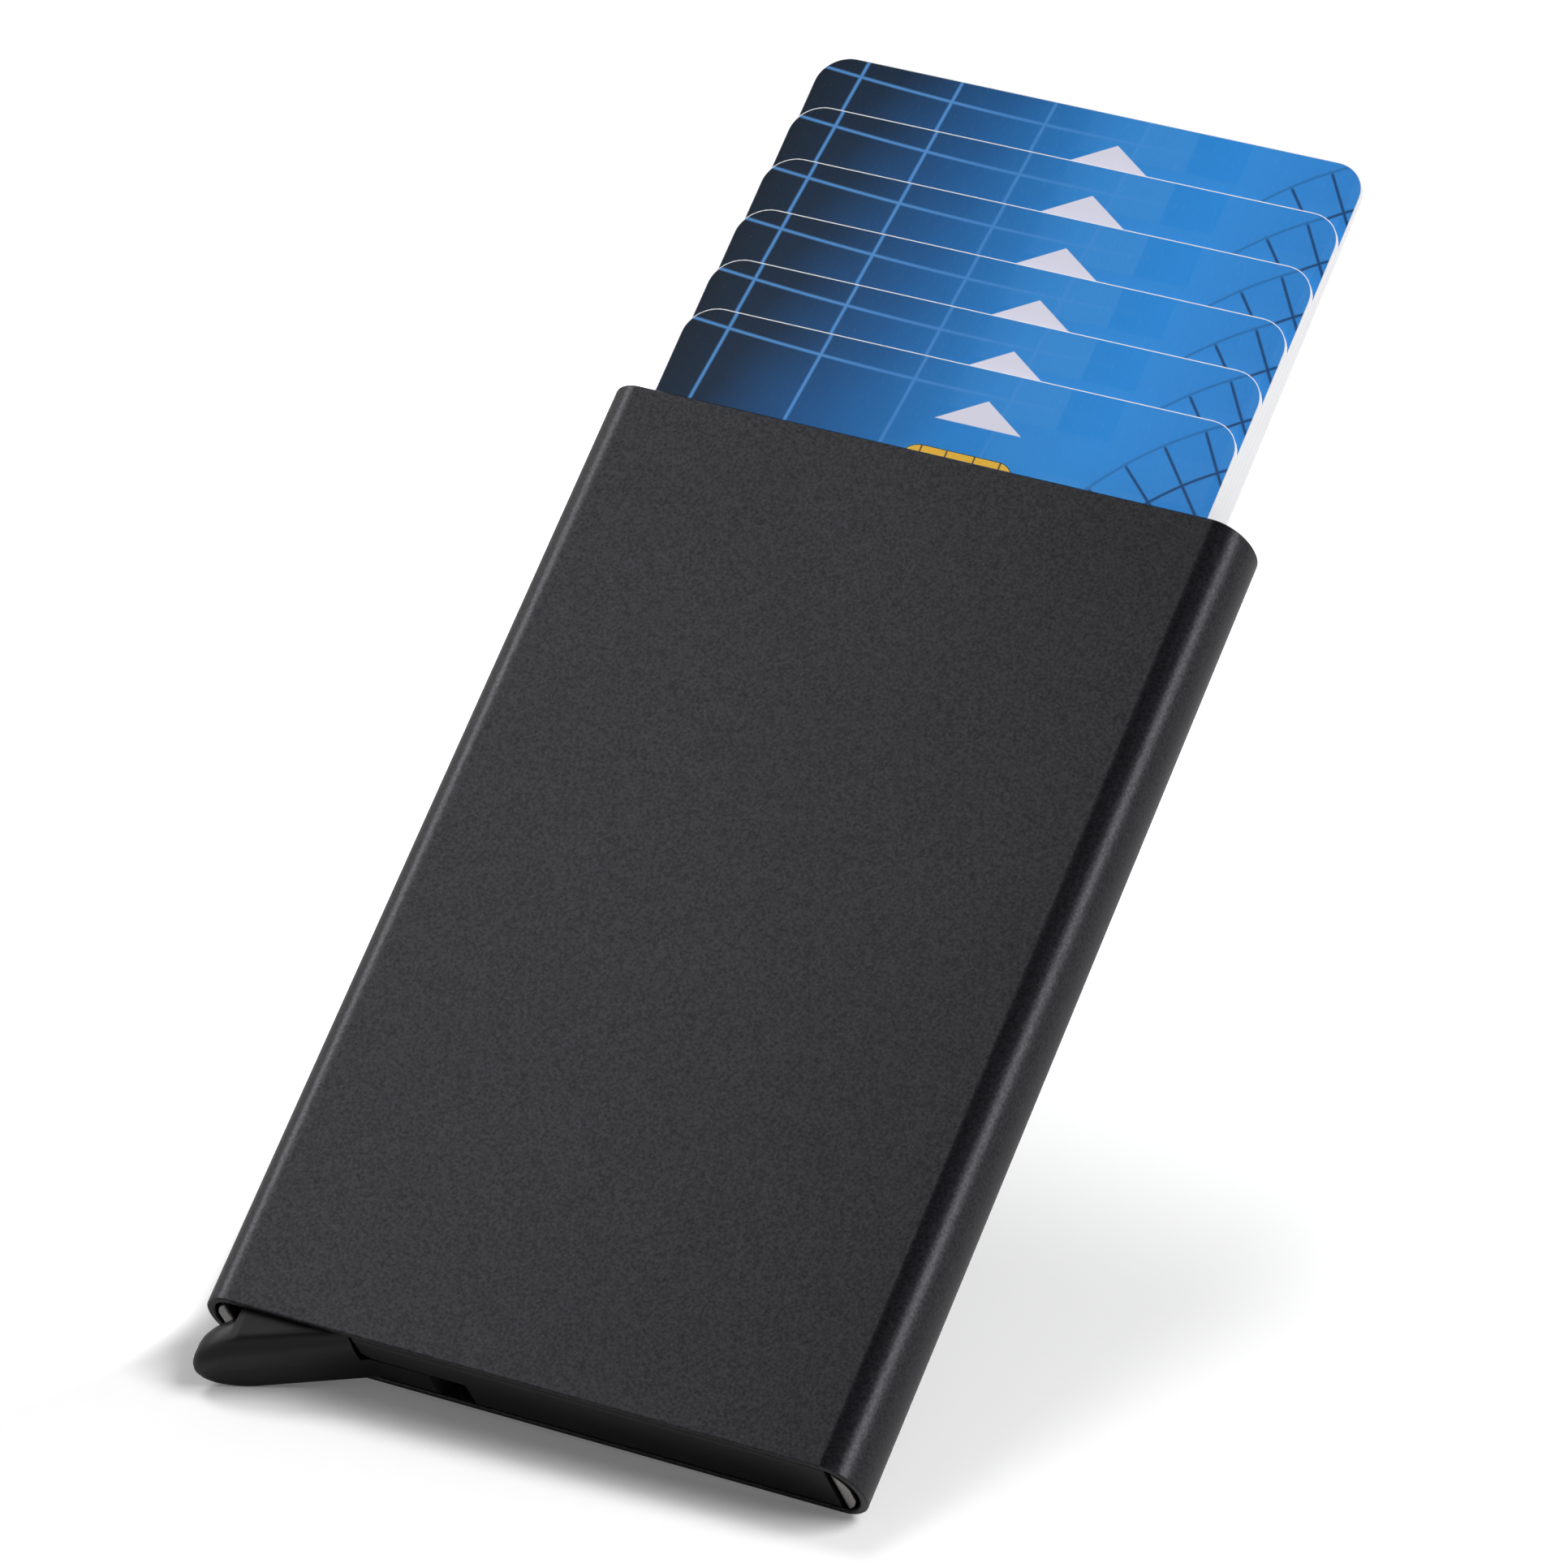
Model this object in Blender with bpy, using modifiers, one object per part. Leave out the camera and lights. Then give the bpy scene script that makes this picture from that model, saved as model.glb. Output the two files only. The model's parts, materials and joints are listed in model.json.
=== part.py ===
"""Pop-up card holder: an extruded case, six cards, a stepped ejector lever and two side springs.

Lengths are in metres. The holder lies on its back: X is its width, +Y points to the mouth
that the cards leave by, and +Z rises from the back face to the front face.
"""

import math

import bmesh
import bpy

# Case: a flat tube with half-elliptical sides, sized by the cards, springs and lever inside it
CASE_WALL = 0.00075
CASE_SIDE_DEPTH = 0.0033
CASE_RIM_BEVEL = 0.00012

# Cards: the usual bank card, fanned out as the lever's arms leave them
CARD_LENGTH = 0.0856
CARD_WIDTH = 0.05398
CARD_THICKNESS = 0.00076
CARD_CORNER = 0.00318
CARD_COUNT = 6
CARD_PLAY = 0.00004
CARD_FRONT_GAP = 0.00085
CARD_BACK_GAP = 0.00249
CARD_HOME_RECESS = 0.0012
FRONT_CARD_OUT = 0.0102

# Chip contact plate, glued in a shallow pocket of each card
CHIP_WIDTH = 0.0108
CHIP_LENGTH = 0.0124
CHIP_CORNER = 0.0017
CHIP_THICKNESS = 0.00022
CHIP_POCKET_DEPTH = 0.0003
CHIP_GLUE_GAP = 0.00006
CHIP_TO_CARD_TOP = 0.0088
CHIP_OFFSET = 0.0029

# Side springs: bent steel strips between the cards and the case
STRIP_THICKNESS = 0.0003
STRIP_BOW = 0.0012
STRIP_BEND_RADIUS = 0.0004
STRIP_FLANGE = 0.00146
STRIP_FLANGE_GAP = 0.0005
STRIP_WALL_GAP = 0.0003
STRIP_EDGE_GAP = 0.0004
STRIP_BOW_START = 0.012
STRIP_TOP_MARGIN = 0.008
STRIP_CURL_LENGTH = 0.006

# Fits between pieces
FIT_GAP = 0.0003
FIT_TO_CASE = 0.00025
LAP_GAP = 0.0002
TURNING_GAP = 0.0002
PIN_RUNNING_GAP = 0.00006
PIN_PRESS_GAP = 0.00002
OVERRUN = 0.001

# End base: the bar that closes the lower end and carries the pin
BASE_HEIGHT = 0.003
BASE_END_RADIUS = 0.0039
BASE_BOSS_RADIUS = 0.0026
BASE_LAP_ROUND = 0.001
BASE_EDGE_ROUND = 0.0005
BASE_RECESS_LENGTH = 0.0076

# Ejector lever: thumb tab, hub and six stepped arms
PIVOT_HEIGHT = 0.0032
LEVER_SWING = 72.0
LEVER_ARM_TOP = 0.0035
LEVER_TIP_GAP = 0.0025
SHORTEST_ARM = 0.00834
ARM_SHARES = (0.0, 0.193, 0.392, 0.595, 0.801, 1.0)
LEVER_HUB_RADIUS = 0.00512
LEVER_SHOULDER_REACH = 0.0042
LEVER_SHOULDER_ROUND = 0.0015
THUMB_REACH = 0.0167
THUMB_ROOT_REACH = 0.0016
THUMB_STRIP_GAP = 0.00159
THUMB_CUT_ANGLE = 29.0
THUMB_SLOPE_ANGLE = 20.5
THUMB_TIP_HEIGHT = 0.00354
THUMB_FRONT_ROUND = 0.0017
THUMB_BACK_ROUND = 0.0005
THUMB_END_DEPTH = 0.005
THUMB_END_TRIM = 0.00005
LAP_HEIGHT_SHARE = 0.53
LAP_ARC_START = 135.0

# Pivot pin and the return spring that is wound round it
PIN_RADIUS = 0.001
PIN_HEAD_RADIUS = 0.0017
PIN_HEAD_THICKNESS = 0.0005
PIN_HEAD_RECESS = 0.0009
PIN_END_SINK = 0.00015
PIN_CHAMFER = 0.0002
SPRING_WIRE = 0.0004
SPRING_RADIUS = 0.002
SPRING_PITCH = 0.00085
SPRING_TURNS = 2.0
SPRING_SIDE_GAP = 0.00035
SPRING_FLOOR_GAP = 0.0001
SPRING_LEG_RISE = 0.0009
SPRING_BEND_RADIUS = 0.0004

# Facets
SIDE_STEPS = 24
CORNER_STEPS = 8
TURN_STEPS = 32
ROUND_STEPS = 4
BOW_STEPS = 24
CURL_STEPS = 6
WIRE_STEPS_PER_TURN = 12
WIRE_SIDES_STEP = 1
MERGE = 0.000001

# Sizes and places worked out from the sizes above
CARD_PITCH = CARD_THICKNESS + CARD_PLAY
STACK_THICKNESS = CARD_COUNT * CARD_PITCH - CARD_PLAY
STRIP_LINE = CARD_WIDTH / 2 + FIT_GAP + STRIP_BOW + STRIP_THICKNESS / 2
STRIP_FACE = STRIP_LINE - STRIP_THICKNESS / 2
CASE_WIDTH = 2 * (STRIP_FACE + STRIP_FLANGE + STRIP_FLANGE_GAP + CASE_WALL)
CASE_LENGTH = PIVOT_HEIGHT + LEVER_ARM_TOP + FIT_GAP + CARD_LENGTH + CARD_HOME_RECESS
CASE_THICKNESS = STACK_THICKNESS + CARD_FRONT_GAP + CARD_BACK_GAP + 2 * CASE_WALL
CASE_BOTTOM = -CASE_LENGTH / 2
CASE_MOUTH = CASE_LENGTH / 2
MID_THICKNESS = CASE_THICKNESS / 2
INNER_LOW = CASE_WALL + FIT_TO_CASE
INNER_HIGH = CASE_THICKNESS - CASE_WALL - FIT_TO_CASE
LAP_HEIGHT = INNER_LOW + (INNER_HIGH - INNER_LOW) * LAP_HEIGHT_SHARE
LAP_LOW = LAP_HEIGHT - LAP_GAP / 2
LAP_HIGH = LAP_HEIGHT + LAP_GAP / 2
FRONT_CARD_FACE = CASE_THICKNESS - CASE_WALL - CARD_FRONT_GAP
THUMB_SLOPE_DROP = (THUMB_REACH - THUMB_ROOT_REACH) * math.tan(math.radians(THUMB_SLOPE_ANGLE))
THUMB_CUT_DROP = THUMB_SLOPE_DROP - THUMB_TIP_HEIGHT
THUMB_TOP_REACH = THUMB_REACH - THUMB_CUT_DROP / math.tan(math.radians(THUMB_CUT_ANGLE))
PIVOT_OFFSET = STRIP_FACE - THUMB_STRIP_GAP - THUMB_TOP_REACH
PIVOT = (-PIVOT_OFFSET, CASE_BOTTOM + PIVOT_HEIGHT, 0)
ARM_BOTTOM = BASE_HEIGHT - PIVOT_HEIGHT + FIT_GAP
BASE_REACH = STRIP_FACE - FIT_GAP + PIVOT_OFFSET
LONGEST_ARM = STRIP_FACE - LEVER_TIP_GAP + PIVOT_OFFSET
CARD_FAN = (LONGEST_ARM - SHORTEST_ARM) * math.sin(math.radians(LEVER_SWING))

model = None
cutters = None


def clear_scene():
    """Removes the objects of the open scene."""
    for item in list(bpy.data.objects):
        bpy.data.objects.remove(item, do_unlink=True)


def new_collection(name):
    """Adds a collection to the scene."""
    collection = bpy.data.collections.new(name)
    bpy.context.scene.collection.children.link(collection)
    return collection


def finish(item, colour, roughness, metallic):
    """Gives a piece its own material and smooth shading between its sharp edges."""
    material = bpy.data.materials.new(item.name + "_finish")
    material.use_nodes = True
    shader = material.node_tree.nodes["Principled BSDF"]
    shader.inputs["Base Color"].default_value = (*colour, 1.0)
    shader.inputs["Roughness"].default_value = roughness
    shader.inputs["Metallic"].default_value = metallic
    item.data.materials.clear()
    item.data.materials.append(material)
    if item.type == "MESH":
        item.data.shade_smooth()
        item.data.set_sharp_from_angle(angle=math.radians(35))


def as_tool(item):
    """Makes a piece a cutter, which is not part of the model."""
    model.objects.unlink(item)
    cutters.objects.link(item)
    item.hide_render = True
    item.display_type = "WIRE"
    return item


def combine(item, tool, operation):
    """Cuts a piece by a tool, or keeps only what lies inside the tool."""
    modifier = item.modifiers.new(tool.name, "BOOLEAN")
    modifier.operation = operation
    modifier.solver = "EXACT"
    modifier.object = as_tool(tool)


def settle(item):
    """Replaces a piece's mesh by its evaluated one, and drops its modifiers."""
    bpy.context.view_layer.update()
    graph = bpy.context.evaluated_depsgraph_get()
    mesh = bpy.data.meshes.new_from_object(item.evaluated_get(graph))
    item.modifiers.clear()
    item.data = mesh


def mesh_from_curve(curve_item):
    """Turns a curve object into a mesh object of the same name and place."""
    bpy.context.view_layer.update()
    graph = bpy.context.evaluated_depsgraph_get()
    mesh = bpy.data.meshes.new_from_object(curve_item.evaluated_get(graph))
    name = curve_item.name
    place = curve_item.matrix_world.copy()
    bpy.data.objects.remove(curve_item, do_unlink=True)
    item = bpy.data.objects.new(name, mesh)
    model.objects.link(item)
    item.matrix_world = place
    return item


def flat_curve(name, points, depth, closed, fill):
    """A 2D curve in its own XY plane, extruded by depth about that plane."""
    curve = bpy.data.curves.new(name, "CURVE")
    curve.dimensions = "2D"
    curve.fill_mode = fill
    curve.extrude = depth / 2
    spline = curve.splines.new("POLY")
    spline.points.add(len(points) - 1)
    for point, (x, y) in zip(spline.points, points):
        point.co = (x, y, 0, 1)
    spline.use_cyclic_u = closed
    item = bpy.data.objects.new(name, curve)
    model.objects.link(item)
    return item


def lies_flat(face):
    """Whether a face is part of a flat cap, slivers between points in line included."""
    heights = [vert.co.z for vert in face.verts]
    return max(heights) - min(heights) < MERGE


def weld(item, shift=(0, 0, 0), caps=False):
    """Joins loose seams, moves the mesh by shift, and makes each flat cap one face."""
    work = bmesh.new()
    work.from_mesh(item.data)
    bmesh.ops.remove_doubles(work, verts=work.verts, dist=MERGE)
    if caps:
        inner = [edge for edge in work.edges if all(lies_flat(face) for face in edge.link_faces)]
        bmesh.ops.dissolve_edges(work, edges=inner, use_verts=False)
    bmesh.ops.translate(work, verts=work.verts, vec=shift)
    bmesh.ops.recalc_face_normals(work, faces=work.faces)
    work.to_mesh(item.data)
    work.free()


def plate(name, points, low, high):
    """A flat outline in XY, standing from low to high along Z."""
    item = mesh_from_curve(flat_curve(name, points, high - low, True, "BOTH"))
    weld(item, shift=(0, 0, (low + high) / 2), caps=True)
    return item


def prism_along_y(name, points, low, high):
    """An outline of (x, z) points, standing from low to high along Y."""
    item = plate(name, points, -high, -low)
    item.rotation_euler = (math.radians(90), 0, 0)
    return item


def box(name, low, high):
    """A box between two corners."""
    work = bmesh.new()
    bmesh.ops.create_cube(work, size=1)
    size = [top - bottom for bottom, top in zip(low, high)]
    middle = [(top + bottom) / 2 for bottom, top in zip(low, high)]
    bmesh.ops.scale(work, vec=size, verts=work.verts)
    bmesh.ops.translate(work, vec=middle, verts=work.verts)
    mesh = bpy.data.meshes.new(name)
    work.to_mesh(mesh)
    work.free()
    item = bpy.data.objects.new(name, mesh)
    model.objects.link(item)
    return item


def turned(name, profile, closed):
    """A profile of (radius, height) points, listed down its outer side, turned about Z."""
    mesh = bpy.data.meshes.new(name)
    edges = [(index, index + 1) for index in range(len(profile) - 1)]
    if closed:
        edges.append((len(profile) - 1, 0))
    mesh.from_pydata([(radius, 0, height) for radius, height in profile], edges, [])
    item = bpy.data.objects.new(name, mesh)
    model.objects.link(item)
    screw = item.modifiers.new("turn", "SCREW")
    screw.steps = TURN_STEPS
    screw.render_steps = TURN_STEPS
    screw.use_merge_vertices = True
    screw.merge_threshold = MERGE
    settle(item)
    return item


def arc(centre, radius, start, end, steps):
    """Points on an arc about centre, from one angle in degrees to another."""
    points = []
    for step in range(steps + 1):
        angle = math.radians(start + (end - start) * step / steps)
        points.append((centre[0] + radius * math.cos(angle), centre[1] + radius * math.sin(angle)))
    return points


def rounded(corners, steps):
    """An outline through (x, y, radius) corners, each replaced by an arc of its radius."""
    points = []
    for index, (x, y, radius) in enumerate(corners):
        before = corners[index - 1]
        after = corners[(index + 1) % len(corners)]
        if radius == 0:
            points.append((x, y))
            continue
        back = math.atan2(before[1] - y, before[0] - x)
        ahead = math.atan2(after[1] - y, after[0] - x)
        opening = (ahead - back + math.pi) % (2 * math.pi) - math.pi
        middle = back + opening / 2
        reach = radius / abs(math.sin(opening / 2))
        centre = (x + reach * math.cos(middle), y + reach * math.sin(middle))
        turn = math.degrees(math.pi - abs(opening)) * (-1 if opening > 0 else 1)
        first = math.degrees(middle) + 180 - turn / 2
        points.extend(arc(centre, radius, first, first + turn, steps))
    return points


def round_edges(item, chosen, radius):
    """Rounds the edges of a mesh whose two ends both pass the test chosen."""
    work = bmesh.new()
    work.from_mesh(item.data)
    edges = [edge for edge in work.edges if chosen(edge.verts[0].co, edge.verts[1].co)]
    bmesh.ops.bevel(
        work,
        geom=edges,
        offset=radius,
        offset_type="OFFSET",
        segments=ROUND_STEPS,
        profile=0.5,
        affect="EDGES",
        clamp_overlap=False,
    )
    work.to_mesh(item.data)
    work.free()


def same(first, second):
    """Whether two lengths are equal but for rounding."""
    return abs(first - second) < 10 * MERGE


def case_section(inset):
    """The case's section in (x, z), drawn in by inset: two flats joined by half ellipses."""
    middle = CASE_WIDTH / 2 - CASE_SIDE_DEPTH
    reach = CASE_SIDE_DEPTH - inset
    rise = CASE_THICKNESS / 2 - inset
    points = []
    for centre, start in ((middle, -90), (-middle, 90)):
        for step in range(SIDE_STEPS + 1):
            angle = math.radians(start + 180 * step / SIDE_STEPS)
            points.append((centre + reach * math.cos(angle), MID_THICKNESS + rise * math.sin(angle)))
    return points


def make_case():
    """The extruded tube: the outer surface, thickened inwards, with its two rims eased."""
    item = mesh_from_curve(flat_curve("case_shell", case_section(0), CASE_LENGTH, True, "NONE"))
    weld(item)
    item.rotation_euler = (math.radians(90), 0, 0)
    outward = sum(
        face.normal.x * face.center.x + face.normal.y * (face.center.y - MID_THICKNESS)
        for face in item.data.polygons
    )
    if outward < 0:
        item.data.flip_normals()
    wall = item.modifiers.new("wall", "SOLIDIFY")
    wall.thickness = CASE_WALL
    wall.offset = -1
    wall.use_even_offset = True
    rim = item.modifiers.new("rim", "BEVEL")
    rim.width = CASE_RIM_BEVEL
    rim.segments = 1
    rim.limit_method = "ANGLE"
    rim.angle_limit = math.radians(60)
    finish(item, (0.03, 0.03, 0.034), 0.45, 0.6)
    return item


def card_out(index):
    """How far a card stands out of the mouth; the front card is index 0."""
    return FRONT_CARD_OUT + CARD_FAN * ARM_SHARES[index]


def card_bottom(index):
    """Where the lower edge of a card lies along Y."""
    return CASE_MOUTH + card_out(index) - CARD_LENGTH


def card_front(index):
    """Where the front face of a card lies along Z."""
    return FRONT_CARD_FACE - index * CARD_PITCH


def sheet_outline(width, length, corner, middle, low):
    """A rounded rectangle of (x, y) points, with its lower edge at low."""
    left = middle - width / 2
    right = middle + width / 2
    corners = [(left, low), (right, low), (right, low + length), (left, low + length)]
    return rounded([(x, y, corner) for x, y in corners], CORNER_STEPS)


def make_cards():
    """Six cards of one shape, each with a pocket that holds its chip contact plate."""
    chip_low = CARD_LENGTH - CHIP_TO_CARD_TOP - CHIP_LENGTH
    outline = sheet_outline(CARD_WIDTH, CARD_LENGTH, CARD_CORNER, 0, 0)
    pattern = plate("card_1", outline, -CARD_THICKNESS, 0)
    pocket = plate(
        "chip_pocket",
        sheet_outline(
            CHIP_WIDTH + 2 * CHIP_GLUE_GAP,
            CHIP_LENGTH + 2 * CHIP_GLUE_GAP,
            CHIP_CORNER + CHIP_GLUE_GAP,
            CHIP_OFFSET,
            chip_low - CHIP_GLUE_GAP,
        ),
        -CHIP_POCKET_DEPTH,
        OVERRUN,
    )
    combine(pattern, pocket, "DIFFERENCE")
    settle(pattern)
    chip_outline = sheet_outline(CHIP_WIDTH, CHIP_LENGTH, CHIP_CORNER, CHIP_OFFSET, chip_low)
    chip_pattern = plate("chip_contact_1", chip_outline, -CHIP_THICKNESS, 0)
    for index in range(CARD_COUNT):
        if index == 0:
            card = pattern
            chip = chip_pattern
        else:
            card = bpy.data.objects.new("card_" + str(index + 1), pattern.data.copy())
            chip = bpy.data.objects.new("chip_contact_" + str(index + 1), chip_pattern.data.copy())
            model.objects.link(card)
            model.objects.link(chip)
        card.location = (0, card_bottom(index), card_front(index))
        chip.parent = card
        finish(card, (0.03, 0.16, 0.42), 0.35, 0.0)
        finish(chip, (0.85, 0.6, 0.16), 0.3, 0.9)


def strip_path(side):
    """The centre line of a side spring in (x, y): flange, bend, bowed run and outward curl."""
    wall = CASE_WIDTH / 2 - CASE_WALL
    flange_end = wall - STRIP_FLANGE_GAP
    bend = STRIP_LINE + STRIP_BEND_RADIUS
    sheet = CASE_BOTTOM + STRIP_THICKNESS / 2
    points = [(flange_end, sheet)]
    points.extend(arc((bend, sheet + STRIP_BEND_RADIUS), STRIP_BEND_RADIUS, 270, 180, ROUND_STEPS))
    bow_low = CASE_BOTTOM + STRIP_BOW_START
    bow_high = CASE_MOUTH - STRIP_TOP_MARGIN - STRIP_CURL_LENGTH
    for step in range(BOW_STEPS + 1):
        share = step / BOW_STEPS
        depth = STRIP_BOW * (1 - math.cos(2 * math.pi * share)) / 2
        points.append((STRIP_LINE - depth, bow_low + (bow_high - bow_low) * share))
    curl_out = wall - STRIP_WALL_GAP - STRIP_THICKNESS / 2 - STRIP_LINE
    for step in range(1, CURL_STEPS + 1):
        share = step / CURL_STEPS
        rise = curl_out * (1 - math.cos(math.pi * share)) / 2
        points.append((STRIP_LINE + rise, bow_high + STRIP_CURL_LENGTH * share))
    return [(side * x, y) for x, y in points]


def make_side_spring(name, side):
    """A steel strip, bent from flat sheet and trimmed to the inside of the case."""
    ribbon = flat_curve(name, strip_path(side), CASE_THICKNESS - 2 * CASE_WALL, False, "NONE")
    item = mesh_from_curve(ribbon)
    weld(item, shift=(0, 0, MID_THICKNESS))
    sheet = item.modifiers.new("sheet", "SOLIDIFY")
    sheet.thickness = STRIP_THICKNESS
    sheet.offset = 0
    sheet.use_even_offset = True
    room = prism_along_y(
        name + "_room",
        case_section(CASE_WALL + STRIP_EDGE_GAP),
        CASE_BOTTOM - OVERRUN,
        CASE_MOUTH + OVERRUN,
    )
    combine(item, room, "INTERSECT")
    settle(item)
    finish(item, (0.62, 0.6, 0.57), 0.28, 1.0)
    return item


def bar_section_edge(first, second):
    """Whether an edge runs along the lower front or back edge of the base."""
    low = -PIVOT_HEIGHT
    faces = (INNER_LOW, INNER_HIGH)
    at_face = any(same(first.z, face) and same(second.z, face) for face in faces)
    return at_face and same(first.y, low) and same(second.y, low)


def lap_arc_edge(first, second):
    """Whether an edge runs round the left end of the base at the lap."""
    at_lap = same(first.z, LAP_HIGH) and same(second.z, LAP_HIGH)
    ends = (math.hypot(first.x, first.y), math.hypot(second.x, second.y))
    on_arc = all(same(reach, BASE_END_RADIUS) for reach in ends)
    return at_lap and on_arc and max(first.x, second.x) < 0


def make_base(pivot):
    """The bar with its turned left end, pin boss and lap, in places taken from the pivot."""
    low = -PIVOT_HEIGHT
    top = BASE_HEIGHT - PIVOT_HEIGHT
    end_low = 180 + math.degrees(math.asin(PIVOT_HEIGHT / BASE_END_RADIUS))
    end_high = 180 - math.degrees(math.asin(top / BASE_END_RADIUS))
    boss_left = 180 - math.degrees(math.asin(top / BASE_BOSS_RADIUS))
    boss_right = math.degrees(math.asin(top / BASE_BOSS_RADIUS))
    outline = [(BASE_REACH, low), (BASE_REACH, top)]
    outline.extend(arc((0, 0), BASE_BOSS_RADIUS, boss_right, boss_left, TURN_STEPS // 2))
    outline.extend(arc((0, 0), BASE_END_RADIUS, end_high, end_low, CORNER_STEPS))
    item = plate("end_base", outline, INNER_LOW, INNER_HIGH)
    round_edges(item, bar_section_edge, BASE_EDGE_ROUND)
    recess = box(
        "lap_recess",
        (-BASE_END_RADIUS - OVERRUN, low - OVERRUN, INNER_LOW - OVERRUN),
        (BASE_RECESS_LENGTH, BASE_BOSS_RADIUS + OVERRUN, LAP_HIGH),
    )
    combine(item, recess, "DIFFERENCE")
    settle(item)
    round_edges(item, lap_arc_edge, BASE_LAP_ROUND)
    hole_radius = PIN_RADIUS + PIN_PRESS_GAP
    hole = turned(
        "pin_hole",
        [
            (0, INNER_HIGH + OVERRUN),
            (hole_radius, INNER_HIGH + OVERRUN),
            (hole_radius, LAP_HIGH - OVERRUN),
            (0, LAP_HIGH - OVERRUN),
        ],
        False,
    )
    combine(item, hole, "DIFFERENCE")
    leg_radius = SPRING_WIRE / 2 + TURNING_GAP
    leg_top = LAP_HIGH + SPRING_LEG_RISE + SPRING_WIRE / 2
    leg_hole = turned(
        "spring_leg_hole",
        [
            (0, leg_top),
            (leg_radius, leg_top),
            (leg_radius, LAP_HIGH - OVERRUN),
            (0, LAP_HIGH - OVERRUN),
        ],
        False,
    )
    leg_hole.location = (0, -SPRING_RADIUS, 0)
    leg_hole.parent = pivot
    hole.parent = pivot
    recess.parent = pivot
    item.parent = pivot
    combine(item, leg_hole, "DIFFERENCE")
    finish(item, (0.012, 0.012, 0.013), 0.5, 0.0)
    return item


def arm_length(index):
    """How far the arm for a card reaches from the pivot; the front card is index 0."""
    return SHORTEST_ARM + (LONGEST_ARM - SHORTEST_ARM) * ARM_SHARES[index]


def thumb_round_share(first, second):
    """The share of the front rounding that an edge of the thumb gets: all of it in front, less behind."""
    if max(first.y, second.y) > -PIVOT_HEIGHT + 10 * MERGE or same(first.x, second.x):
        return 0
    forward_share = ((first.z + second.z) / 2 - INNER_LOW) / (INNER_HIGH - INNER_LOW)
    back_share = THUMB_BACK_ROUND / THUMB_FRONT_ROUND
    return back_share + (1 - back_share) * forward_share


def round_thumb(item):
    """Rounds the edges round the thumb outside the case, more in front than behind."""
    mesh = item.data
    weights = mesh.attributes.new("bevel_weight_edge", "FLOAT", "EDGE")
    for edge in mesh.edges:
        first, second = (mesh.vertices[index].co for index in edge.vertices)
        weights.data[edge.index].value = thumb_round_share(first, second)
    bevel = item.modifiers.new("thumb_rounding", "BEVEL")
    bevel.width = THUMB_FRONT_ROUND
    bevel.segments = ROUND_STEPS
    bevel.limit_method = "WEIGHT"
    bevel.use_clamp_overlap = False
    settle(item)


def lever_outline():
    """The lever's side view about its pivot: hub, arm, inner slope, thumb and underside."""
    low = -PIVOT_HEIGHT
    hub_low = -math.degrees(math.asin(PIVOT_HEIGHT / LEVER_HUB_RADIUS))
    hub_high = math.degrees(math.asin(ARM_BOTTOM / LEVER_HUB_RADIUS))
    tip = -THUMB_REACH - THUMB_END_TRIM
    corners = [
        (LONGEST_ARM, ARM_BOTTOM, 0),
        (LONGEST_ARM, LEVER_ARM_TOP, 0),
        (-LEVER_SHOULDER_REACH, LEVER_ARM_TOP, LEVER_SHOULDER_ROUND),
        (-THUMB_TOP_REACH, low, 0),
        (tip, low - THUMB_CUT_DROP, 0),
        (tip, low - THUMB_SLOPE_DROP, 0),
        (-THUMB_ROOT_REACH, low, 0),
    ]
    outline = rounded(corners, CORNER_STEPS)
    outline.extend(arc((0, 0), LEVER_HUB_RADIUS, hub_low, hub_high, CORNER_STEPS))
    return outline


def thumb_room():
    """A long (x, z) outline whose left end is half an ellipse, which rounds off the thumb."""
    depth = THUMB_END_DEPTH
    rise = (INNER_HIGH - INNER_LOW) / 2 + THUMB_END_TRIM / 2
    points = [(LONGEST_ARM + OVERRUN, MID_THICKNESS - rise), (LONGEST_ARM + OVERRUN, MID_THICKNESS + rise)]
    for step in range(SIDE_STEPS + 1):
        angle = math.radians(90 + 180 * step / SIDE_STEPS)
        x = depth - THUMB_REACH + depth * math.cos(angle)
        points.append((x, MID_THICKNESS + rise * math.sin(angle)))
    return points


def lap_outline():
    """What the base's front half needs of the lever: a disc, and room for the bar beside it."""
    radius = BASE_END_RADIUS + TURNING_GAP
    clear = PIVOT_HEIGHT + TURNING_GAP
    high = LEVER_ARM_TOP + OVERRUN
    last = 270 + math.degrees(math.acos(clear / radius)) - LEVER_SWING
    round_end = arc((0, 0), radius, LAP_ARC_START, last, TURN_STEPS // 2)
    slant = math.radians(LEVER_SWING)
    left = round_end[-1][0] + THUMB_END_DEPTH * math.cos(slant)
    low = round_end[-1][1] - THUMB_END_DEPTH * math.sin(slant)
    far = LEVER_HUB_RADIUS + OVERRUN
    outline = [(far, ARM_BOTTOM), (radius, ARM_BOTTOM), (radius, high), (round_end[0][0], high)]
    outline.extend(round_end)
    outline.extend([(left, low), (far, low)])
    return outline


def lap_cutter_edge(first, second):
    """Whether an edge runs round the left of the lap cutter's lower face."""
    at_floor = same(first.z, LAP_LOW) and same(second.z, LAP_LOW)
    above_relief = min(first.y, second.y) > -BASE_END_RADIUS
    return at_floor and above_relief and max(first.x, second.x) < 0


def stair_outline():
    """What lies in front of the stepped arms, in (x, z): one step for each card."""
    high = INNER_HIGH + OVERRUN
    points = [(arm_length(0), high)]
    for index in range(CARD_COUNT - 1):
        step = card_front(index + 1) + CARD_PLAY / 2
        points.append((arm_length(index), step))
        points.append((arm_length(index + 1), step))
    points[-1] = (LONGEST_ARM + OVERRUN, points[-1][1])
    points.append((LONGEST_ARM + OVERRUN, high))
    return points


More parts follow.
